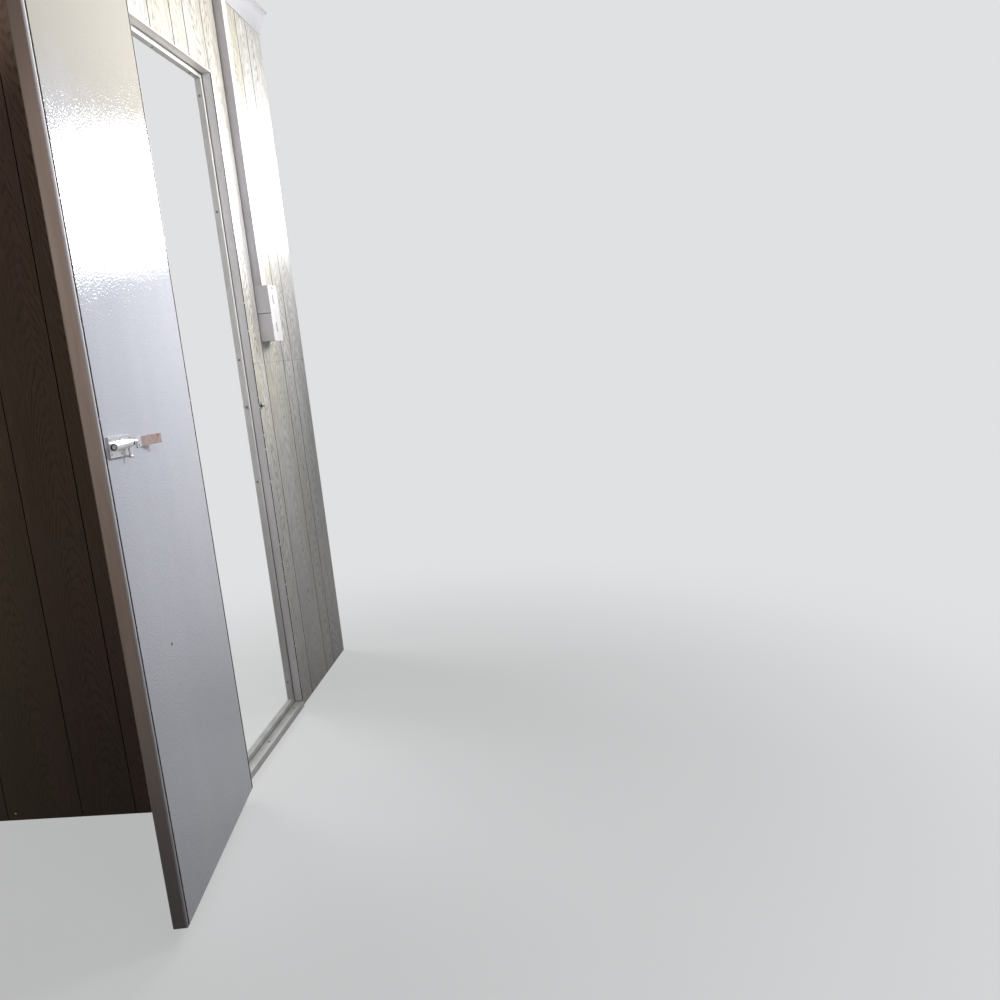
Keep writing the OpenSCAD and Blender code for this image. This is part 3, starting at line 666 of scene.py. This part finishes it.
def make_strap_finish():
    """Pinkish steel of the strap behind the bolt, its tone a painted reflection of the brown wall. Its
    foot is painted over with the leaf.
    """
    finish, tree, surface = new_finish("strap_painted_reflection", Specular_IOR_Level=0.6)
    point = place_of(tree)
    cloud = noise(tree, point, 90.0, 4.0, 0.6)
    # Painted reflection: the pinkish tone stands for the brown wall mirrored in the steel.
    color = clouded(tree, cloud, srgb(190, 168, 166), srgb(166, 142, 139))
    marks = use(tree, SCRATCHES, Vector=point, Amount=0.7)
    color = mix(tree, calc(tree, "MULTIPLY", marks["Mark"], 0.7), color, srgb(120, 92, 84))
    along = parts_of(tree, use(tree, CLOSED_LEAF)["Vector"])[1]
    brushed_over = calc(tree, "MULTIPLY_ADD", cloud, 0.012, along)
    painted = fade(tree, brushed_over, STRAP_BEND + 0.002, STRAP_BEND + 0.005)
    color = mix(tree, painted, color, srgb(196, 197, 206))
    give(tree, surface["Base Color"], color)
    give(tree, surface["Roughness"], fade(tree, cloud, 0.2, 0.8, 0.26, 0.42))
    raise_surface(tree, surface, cloud, 0.0002, 0.3)
    return finish


def make_plastic(name, base, shade, roughness):
    """Moulded plastic with a fine texture, yellowed in clouds."""
    finish, tree, surface = new_finish(name, Specular_IOR_Level=0.5)
    point = place_of(tree)
    cloud = noise(tree, times(tree, point, (12.0, 12.0, 7.0)), 1.0, 3.0)
    dirt = use(tree, GRIME, Vector=point, Reach=0.02, Specks=0.4)
    color = clouded(tree, cloud, base, shade)
    color = mix(tree, calc(tree, "MULTIPLY", dirt["Speck"], 0.6), color, srgb(120, 114, 104))
    give(tree, surface["Base Color"], color)
    give(tree, surface["Roughness"], fade(tree, cloud, 0.2, 0.8, roughness - 0.05, roughness + 0.05))
    fine = noise(tree, point, 1500.0, 1.0)
    raise_surface(tree, surface, fine, 0.00006, 0.3)
    return finish, tree, surface, color


def make_switch_plastic():
    """White switch moulding with painted shade in the slot round each rocker."""
    finish, tree, surface, color = make_plastic(
        "switch_moulding", srgb(238, 236, 241), srgb(228, 226, 231), 0.3
    )
    x, y, z = parts_of(tree, place_of(tree))
    near_side = calc(tree, "LESS_THAN", apart(tree, y, SWITCH_MIDDLE), ROCKER_W / 2 + ROCKER_GAP)
    # Painted shade: a grey line round each rocker, where the slot lies in shade.
    gap_shade = 0.0
    for unit in (0, 1):
        from_middle = apart(tree, z, SWITCH_Z + SWITCH_W * (unit + 0.5))
        near_end = calc(tree, "LESS_THAN", from_middle, ROCKER_H / 2 + ROCKER_GAP)
        gap_shade = calc(tree, "MAXIMUM", calc(tree, "MULTIPLY", near_side, near_end), gap_shade)
    on_face = calc(tree, "LESS_THAN", apart(tree, x, PLATE_FACE), 0.0003)
    gap_shade = calc(tree, "MULTIPLY", gap_shade, on_face)
    give(tree, surface["Base Color"], mix(tree, gap_shade, color, srgb(128, 126, 126)))
    return finish


pale_oak = make_oak_board(
    "pale_oak_print_board",
    DOOR_WALL_ROW,
    along_door_wall,
    behind_door_wall,
    (srgb(222, 222, 224), srgb(218, 215, 202), srgb(90, 88, 84), srgb(30, 26, 24)),
    contrast=0.68,
    fibre=0.42,
    shine=0.75,
    dull=0.42,
    rag=0.003,
    floor_shade=0.45,
    joint_z=BOARD_JOINT_Z,
)
# The return wall's board: its print is made browner and darker than the door wall's, in good part as
# painted shade, since the same pale print likely stands in deep shade there.
brown_shaded_oak = make_oak_board(
    "brown_shaded_oak_print_board",
    RETURN_WALL_ROW,
    along_return_wall,
    behind_return_wall,
    (srgb(192, 152, 142), srgb(169, 147, 119), srgb(94, 70, 58), srgb(24, 15, 12)),
    contrast=0.62,
    fibre=0.2,
    shine=0.12,
    dull=0.32,
    rag=0.0004,
    floor_shade=0.6,
)
pine_upright = make_pine("sawn_pine_upright", (60.0, 60.0, 2.5))
pine_along_x = make_pine("sawn_pine_along_return_wall", (2.5, 60.0, 60.0))
pine_along_y = make_pine("sawn_pine_along_door_wall", (60.0, 2.5, 60.0))
lining = make_lining()
trim = make_trim()
jamb_paint = make_frame_paint(
    "door_jamb_paint", srgb(246, 244, 247), srgb(239, 236, 240), 0.3, 0.1, joint_and_shade=1.0
)
stop_paint = make_frame_paint(
    "door_stop_paint", srgb(246, 244, 246), srgb(238, 235, 238), 0.3, 0.1, low_shade=0.3
)
head_paint = make_frame_paint(
    "door_head_paint", srgb(246, 243, 238), srgb(240, 236, 229), 0.2, 0.25
)
sill_paint = make_frame_paint(
    "sill_worn_paint", srgb(226, 227, 224), srgb(206, 207, 204), 0.45, 0.01
)
threshold_paint = make_frame_paint(
    "threshold_worn_paint", srgb(208, 210, 206), srgb(186, 188, 185), 0.45, 0.008
)
leaf_gloss = make_leaf_gloss()
edging = make_edging()
hinge_steel = make_plated(
    "zinc_hinge_steel", srgb(196, 196, 194), srgb(140, 136, 128), 0.34, (300.0, 300.0, 20.0)
)
bolt_chrome = make_bolt_plating()
fine_grit = (500.0, 500.0, 500.0)
dark_screw = make_plated("oiled_screw", srgb(66, 60, 60), srgb(34, 30, 30), 0.5, fine_grit)
screw_steel = make_plated("screw_steel", srgb(150, 148, 146), srgb(84, 78, 72), 0.36, fine_grit)
strap_finish = make_strap_finish()
trunking_plastic = make_plastic("trunking_moulding", srgb(222, 220, 227), srgb(212, 210, 216), 0.36)[0]
switch_plastic = make_switch_plastic()

DRESS = {
    pine_upright: (
        "corner_post", "lock_stud", "side_stud", "end_stud", "return_stud", "return_end_stud",
    ),
    pine_along_y: ("header_rail", "floor_plate_side", "top_plate_door_wall"),
    pine_along_x: ("floor_plate_return", "top_plate_return"),
    pale_oak: ("board_corner", "board_side", "board_over_door"),
    brown_shaded_oak: ("board_return",),
    lining: ("lining_side", "lining_over_door", "lining_return"),
    trim: ("corner_trim", "cornice_door_wall", "cornice_return"),
    jamb_paint: ("hinge_jamb", "lock_jamb"),
    stop_paint: ("hinge_stop", "lock_stop"),
    head_paint: ("frame_head", "head_stop"),
    sill_paint: ("threshold",),
    threshold_paint: ("threshold_stop",),
    leaf_gloss: ("door_panel",),
    edging: ("door_lock_edging", "door_hinge_edging"),
    hinge_steel: (
        "hinge_upper_frame_half", "hinge_middle_frame_half", "hinge_lower_frame_half",
        "hinge_upper_door_half", "hinge_middle_door_half", "hinge_lower_door_half",
    ),
    bolt_chrome: ("bolt_barrel", "bolt_rod"),
    screw_steel: ("latch_keep",),
    strap_finish: ("bolt_strap",),
    trunking_plastic: ("trunking",),
    switch_plastic: ("switch_upper", "switch_lower"),
}
for finish, names in DRESS.items():
    for name in names:
        NODES[name].data.materials.clear()
        NODES[name].data.materials.append(finish)


# Small pieces

# A screw head's dome and the arms of its recess, as shares of its radius or height, and how far
# its rim goes into what it holds, in metres
DOME, ARM_REACH, ARM_HALF, RECESS_DEPTH = 0.85, 0.6, 0.16, 0.5
RIM_SUNK = 0.0002


def facing(point, direction, turn):
    """Matrix that puts a piece drawn up the Z axis on a point, looking along a direction."""
    return (
        Matrix.Translation(point)
        @ Vector(direction).to_track_quat("Z", "Y").to_matrix().to_4x4()
        @ Matrix.Rotation(turn, 4, "Z")
    )


def add_head(mesh, place, radius, height, recess, rings=8, around=32):
    """Domed screw or nail head as a polar grid. With recess, a cross is pressed into it."""
    profile = [radius * i / rings for i in range(rings + 1)]
    rows = []
    for reach in profile:
        row = []
        for i in range(around if reach else 1):
            angle = 2 * math.pi * i / around
            x, y = reach * math.cos(angle), reach * math.sin(angle)
            z = height * math.sqrt(max(0.0, 1 - DOME * (reach / radius) ** 2))
            arm, side = max(abs(x), abs(y)), min(abs(x), abs(y))
            if recess and arm < ARM_REACH * radius and side < ARM_HALF * radius:
                z -= RECESS_DEPTH * height
            row.append(mesh.verts.new(place @ Vector((x, y, z))))
        rows.append(row)
    skirt = [
        mesh.verts.new(place @ Vector((radius * math.cos(a), radius * math.sin(a), -RIM_SUNK)))
        for a in (2 * math.pi * i / around for i in range(around))
    ]
    rows.append(skirt)
    for i in range(around):
        after = (i + 1) % around
        mesh.faces.new((rows[0][0], rows[1][i], rows[1][after]))
        for inner, outer in zip(rows[1:], rows[2:]):
            mesh.faces.new((inner[i], outer[i], outer[after], inner[after]))
    mesh.faces.new(list(reversed(skirt)))


def add_piece(name, body, finish, draw):
    """A piece drawn into a mesh, dressed, and put on its CAD body."""
    mesh = bmesh.new()
    draw(mesh)
    bmesh.ops.recalc_face_normals(mesh, faces=mesh.faces)
    data = bpy.data.meshes.new(name)
    mesh.to_mesh(data)
    mesh.free()
    for face in data.polygons:
        face.use_smooth = True
    data.materials.append(finish)
    item = bpy.data.objects.new(name, data)
    bpy.context.scene.collection.objects.link(item)
    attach(item, body)


def screws(name, body, places, radius, height, seed, finish=screw_steel, recess=True):
    """Several screw heads as one piece, each turned at random. A place is a point, the direction
    that the head looks in, and the matrix that carries it to where its body stands."""
    chance = random.Random(seed)

    def draw(mesh):
        """Draws each head at its place."""
        for point, direction, carry in places:
            turned = facing(point, direction, chance.uniform(0, math.pi))
            add_head(mesh, carry @ turned, radius, height, recess)

    add_piece(name, body, finish, draw)


# Where the heads are, in metres. HERE is for what doesn't move and BOLT_TILTED for the bolt's plate.
HERE = Matrix.Identity(4)
BOLT_TILTED = (
    OPENED
    @ Matrix.Translation((LEAF_IN - BOLT_PLATE_RISE, BOLT_END, BOLT_Z))
    @ Matrix.Rotation(BOLT_PLATE_TILT, 4, "X")
)
STOP_SCREW_X = -0.0095
LOCK_STOP_SCREW_Z = (1.863, 1.542, 1.112, 0.740, 0.091)
HINGE_STOP_SCREW_Z = (1.85, 1.4, 0.8, 0.4, 0.1)
HEAD_STOP_SCREW_Y = (0.09, 0.33, 0.57)
SILL_SCREW_X, SILL_SCREW_Y = 0.014, (0.08, 0.33, 0.58)
HINGE_FRAME_HOLES = ((0.010, 0.010), (0.020, 0.028), (0.010, 0.047), (0.020, 0.065))
HINGE_DOOR_HOLES = ((0.017, 0.010), (0.025, 0.028), (0.017, 0.047), (0.025, 0.065))
BOLT_HOLE_Y, BOLT_HOLE_Z = (-0.007, -0.058, -0.109), (-0.0135, 0.0135)
STRAP_HOLE_Y, STRAP_HOLE_Z = 0.446, (0.9585, 0.9695)
LEAF_SCREW_Y, LEAF_SCREW_Z = 0.448, 0.549
KEEP_HOLE_Y, KEEP_HOLE_Z = 0.6635, (0.9605, 0.9775)
PLATE_HOLE_INSET = 0.009

screws(
    "lock_stop_screws", "partition",
    [((STOP_SCREW_X, REVEAL_LOCK - STOP_H, z), (0, -1, 0), HERE) for z in LOCK_STOP_SCREW_Z],
    radius=0.0036, height=0.001, seed=2,
)
screws(
    "hinge_stop_screws", "partition",
    [((STOP_SCREW_X, REVEAL_HINGE + STOP_H, z), (0, 1, 0), HERE) for z in HINGE_STOP_SCREW_Z],
    radius=0.0036, height=0.001, seed=3,
)
screws(
    "head_stop_screws", "partition",
    [((STOP_SCREW_X, y, HEAD_Z - STOP_H), (0, 0, -1), HERE) for y in HEAD_STOP_SCREW_Y],
    radius=0.0036, height=0.001, seed=4,
)
screws(
    "sill_screws", "partition",
    [((SILL_SCREW_X, y, SILL_H), (0, 0, 1), HERE) for y in SILL_SCREW_Y],
    radius=0.004, height=0.0009, finish=threshold_paint, seed=5,
)
screws(
    "hinge_frame_screws", "partition",
    [((x, REVEAL_HINGE + HINGE_PLATE_T, foot + z), (0, 1, 0), HERE)
     for foot in HINGE_FEET for x, z in HINGE_FRAME_HOLES],
    radius=0.0034, height=0.0007, seed=6,
)
screws(
    "hinge_door_screws", "door_leaf",
    [((x, LEAF_HINGE_EDGE - HINGE_PLATE_T, foot + z), (0, -1, 0), OPENED)
     for foot in HINGE_FEET for x, z in HINGE_DOOR_HOLES],
    radius=0.0034, height=0.0007, seed=7,
)
screws(
    "bolt_screws", "door_leaf",
    [((0.0, y, z), (-1, 0, 0), BOLT_TILTED) for y in BOLT_HOLE_Y for z in BOLT_HOLE_Z],
    radius=0.0028, height=0.0009, seed=8,
)
screws(
    "strap_screws", "door_leaf",
    [((LEAF_IN - STRAP_T, STRAP_HOLE_Y, z), (-1, 0, 0), OPENED) for z in STRAP_HOLE_Z],
    radius=0.0026, height=0.0009, seed=9,
)
screws(
    "leaf_screw", "door_leaf",
    [((LEAF_IN, LEAF_SCREW_Y, LEAF_SCREW_Z), (-1, 0, 0), OPENED)],
    radius=0.0032, height=0.0008, finish=dark_screw, seed=10,
)
screws(
    "latch_keep_screws", "partition",
    [((KEEP_FACE, KEEP_HOLE_Y, z), (1, 0, 0), HERE) for z in KEEP_HOLE_Z],
    radius=0.0018, height=0.0007, seed=11,
)
screws(
    "switch_screw", "partition",
    [((PLATE_FACE, SWITCH_MIDDLE, SWITCH_Z + 2 * SWITCH_W - PLATE_HOLE_INSET), (1, 0, 0), HERE)],
    radius=0.0038, height=0.0009, finish=dark_screw, seed=12,
)
screws(
    "switch_screw_caps", "partition",
    [((PLATE_FACE, SWITCH_MIDDLE, SWITCH_Z + z), (1, 0, 0), HERE)
     for z in (PLATE_HOLE_INSET, SWITCH_W - PLATE_HOLE_INSET, SWITCH_W + PLATE_HOLE_INSET)],
    radius=0.003, height=0.0009, finish=switch_plastic, recess=False, seed=13,
)

# The draught bead's radius, and its middle measured from the stops' front and from the reveal
SEAL_R, SEAL_X, SEAL_INWARD = 0.0013, 0.0006, 0.0014


def draw_seal(mesh, around=10):
    """Bead at the foot of the stops, mitred at the four corners of the opening."""
    ring = []
    for i in range(around):
        angle = 2 * math.pi * i / around
        x, inward = SEAL_X + SEAL_R * math.cos(angle), SEAL_INWARD + SEAL_R * math.sin(angle)
        low_y, high_y = REVEAL_HINGE + inward, REVEAL_LOCK - inward
        low_z, high_z = SILL_H + inward, HEAD_Z - inward
        corners = ((low_y, low_z), (high_y, low_z), (high_y, high_z), (low_y, high_z))
        ring.append([mesh.verts.new((x, y, z)) for y, z in corners])
    for here, after in zip(ring, ring[1:] + ring[:1]):
        for i in range(4):
            j = (i + 1) % 4
            mesh.faces.new((here[i], here[j], after[j], after[i]))


def make_seal_rubber():
    """Grey rubber of the draught bead, dusty on top."""
    finish, tree, surface = new_finish("draught_seal_rubber", Specular_IOR_Level=0.3)
    point = place_of(tree)
    dust = noise(tree, point, 160.0, 3.0, 0.6)
    color = mix(tree, fade(tree, dust, 0.4, 0.7), srgb(76, 73, 76), srgb(112, 108, 108))
    trodden = fade(tree, parts_of(tree, point)[2], SILL_H + 0.002, SILL_H + 0.012, 1.0, 0.0)
    color = mix(tree, trodden, color, mix(tree, dust, srgb(124, 126, 122), srgb(168, 170, 166)))
    give(tree, surface["Base Color"], color)
    give(tree, surface["Roughness"], fade(tree, dust, 0.2, 0.8, 0.5, 0.8))
    raise_surface(tree, surface, dust, 0.0002, 0.3)
    return finish


add_piece("draught_seal", "partition", make_seal_rubber(), draw_seal)


def nails(name, places, finish, seed):
    """Panel pins as one piece, each a little off its line."""
    chance = random.Random(seed)
    aside, up = 0.001, 0.004
    moved = [
        ((x + chance.uniform(-aside, aside) * abs(direction[1]),
          y + chance.uniform(-aside, aside) * abs(direction[0]),
          z + chance.uniform(-up, up)), direction, HERE)
        for (x, y, z), direction in places
    ]
    screws(
        name, "partition", moved,
        radius=0.0024, height=0.0007, finish=finish, recess=False, seed=seed,
    )


# The lines that the panel pins follow
NAIL_Z = [0.02 + 0.216 * i for i in range(10)]
DOOR_WALL_NAIL_Y = (0.661, 0.917, 1.176)
OVER_DOOR_NAIL_Y, OVER_DOOR_NAIL_Z = (0.09, 0.24, 0.39, 0.54), 1.947
CORNER_NAIL_X, RETURN_WALL_NAIL_X = -0.012, (-0.548, -1.058)

nails(
    "door_wall_pins",
    [((FACE, y, z), (1, 0, 0)) for y in DOOR_WALL_NAIL_Y for z in NAIL_Z]
    + [((FACE, y, OVER_DOOR_NAIL_Z), (1, 0, 0)) for y in OVER_DOOR_NAIL_Y],
    screw_steel, 21,
)
nails(
    "return_wall_pins",
    [((x, -FACE, z), (0, -1, 0)) for x in (CORNER_NAIL_X, *RETURN_WALL_NAIL_X) for z in NAIL_Z],
    screw_steel, 22,
)
nails(
    "toilet_side_pins",
    [((-FACE, y, z), (-1, 0, 0)) for y in DOOR_WALL_NAIL_Y for z in NAIL_Z]
    + [((x, FACE, z), (0, 1, 0)) for x in RETURN_WALL_NAIL_X for z in NAIL_Z],
    screw_steel, 23,
)


# Floor, background, lights and camera


def seen_directly(tree):
    """1 for what the camera sees, also by way of metal, gloss or glass, and 0 for bounced light."""
    path = add(tree, "ShaderNodeLightPath").outputs
    shown = calc(tree, "MAXIMUM", path["Is Camera Ray"], path["Is Glossy Ray"])
    return calc(tree, "MAXIMUM", shown, path["Is Transmission Ray"])


def make_floor(seen):
    """Pale floor that fades into the background. It throws little light back at the object."""
    finish, tree, surface = new_finish("studio_floor", 0.8, Specular_IOR_Level=0.2)
    point = place_of(tree)
    shown = seen_directly(tree)
    cloud = mix(tree, noise(tree, point, 0.8, 2.0), srgb(238, 238, 238), srgb(234, 234, 233))
    give(tree, surface["Base Color"], mix(tree, shown, srgb(92, 90, 89), cloud))
    x, y, _ = parts_of(tree, point)
    square = calc(tree, "ADD", calc(tree, "MULTIPLY", x, x), calc(tree, "MULTIPLY", y, y))
    far = fade(tree, calc(tree, "SQRT", square), 0.6, 2.6, 0.6, 1.0)
    glow = add(tree, "ShaderNodeEmission", {"Color": seen}).outputs[0]
    lit = tree.nodes["Principled BSDF"].outputs[0]
    blend = add(tree, "ShaderNodeMixShader", {0: calc(tree, "MULTIPLY", far, shown), 1: lit, 2: glow})
    give(tree, tree.nodes["Material Output"].inputs["Surface"], blend.outputs[0])
    half = 12.0
    corners = [(-half, -half, 0), (half, -half, 0), (half, half, 0), (-half, half, 0)]
    data = bpy.data.meshes.new("studio_floor")
    data.from_pydata(corners, [], [(0, 1, 2, 3)])
    data.materials.append(finish)
    floor = bpy.data.objects.new("studio_floor", data)
    bpy.context.scene.collection.objects.link(floor)


def make_background(ambient, seen):
    """World that lights the object faintly, and that the camera sees as a pale grey."""
    world = bpy.data.worlds.new("studio")
    bpy.context.scene.world = world
    world.use_nodes = True
    tree = world.node_tree
    shown = seen_directly(tree)
    back = tree.nodes["Background"]
    give(tree, back.inputs["Color"], mix(tree, shown, srgb(255, 255, 255), seen))
    give(tree, back.inputs["Strength"], calc(tree, "MULTIPLY_ADD", shown, 1.0 - ambient, ambient))


def soft_box(name, place, target, size, power, color=(1.0, 1.0, 1.0), spread=180):
    """Rectangular lamp, in metres and watts, that looks at a target. A smaller spread, in degrees,
    is a grid in front of it."""
    data = bpy.data.lights.new(name, "AREA")
    data.shape = "RECTANGLE"
    data.size, data.size_y = size
    data.energy = power
    data.spread = math.radians(spread)
    data.color = color
    lamp = bpy.data.objects.new(name, data)
    lamp.location = place
    lamp.rotation_euler = (Vector(place) - Vector(target)).to_track_quat("Z", "Y").to_euler()
    lamp.visible_camera = False
    bpy.context.scene.collection.objects.link(lamp)


# The photograph's camera: sensor and lens in millimetres, shift as a share of the picture, place
# in metres and turns in degrees
SENSOR_W, LENS = 36.0, 33.63
CAMERA_SHIFT = (0.009, 0.0098)
CAMERA_PLACE = (0.982, -2.145, 1.080)
CAMERA_TURNS = (79.943, 5.988, 4.797)


def make_camera():
    """Camera that sees the object as the photograph does."""
    data = bpy.data.cameras.new("camera")
    data.sensor_width, data.lens = SENSOR_W, LENS
    data.shift_x, data.shift_y = CAMERA_SHIFT
    camera = bpy.data.objects.new("camera", data)
    camera.location = CAMERA_PLACE
    camera.rotation_euler = Euler([math.radians(turn) for turn in CAMERA_TURNS])
    bpy.context.scene.collection.objects.link(camera)
    bpy.context.scene.camera = camera


BACKDROP = srgb(224, 225, 226)
make_floor(BACKDROP)
make_background(0.03, BACKDROP)
soft_box("far_side_lamp", (0.66, 1.7, 1.80), (0.66, 0.0, 1.80), (1.14, 0.44), 17.9, spread=130)
soft_box("high_room_lamp", (1.8, 0.8, 2.2), (0.0, 0.0, 1.5), (1.0, 0.8), 9, spread=70)
soft_box("room_side_lamp", (2.2, -0.2, 2.2), (0.0, 0.0, 1.6), (1.3, 1.0), 1.5, spread=100)
soft_box("near_side_lamp", (1.6, -1.6, 2.3), (0.0, -0.2, 1.5), (1.0, 1.0), 3.3, spread=70)
soft_box("warm_top_lamp", (1.2, 0.9, 2.9), (0.0, 0.6, 2.0), (1.0, 1.0), 2.5, (1.0, 0.85, 0.58), 60)
soft_box("low_wall_lamp", (1.6, 1.4, 0.5), (0.0, 0.95, 0.25), (0.6, 0.4), 0.15, spread=40)
soft_box("toilet_side_soft_box", (-2.4, 2.2, 2.3), (-0.3, 0.4, 1.1), (1.6, 1.6), 50)
soft_box("front_fill", (-0.6, -3.0, 2.4), (0.0, 0.0, 1.5), (1.6, 1.6), 2.6, (1.0, 0.86, 0.78))
make_camera()
bpy.context.scene.view_settings.view_transform = "Standard"

bpy.context.view_layer.update()
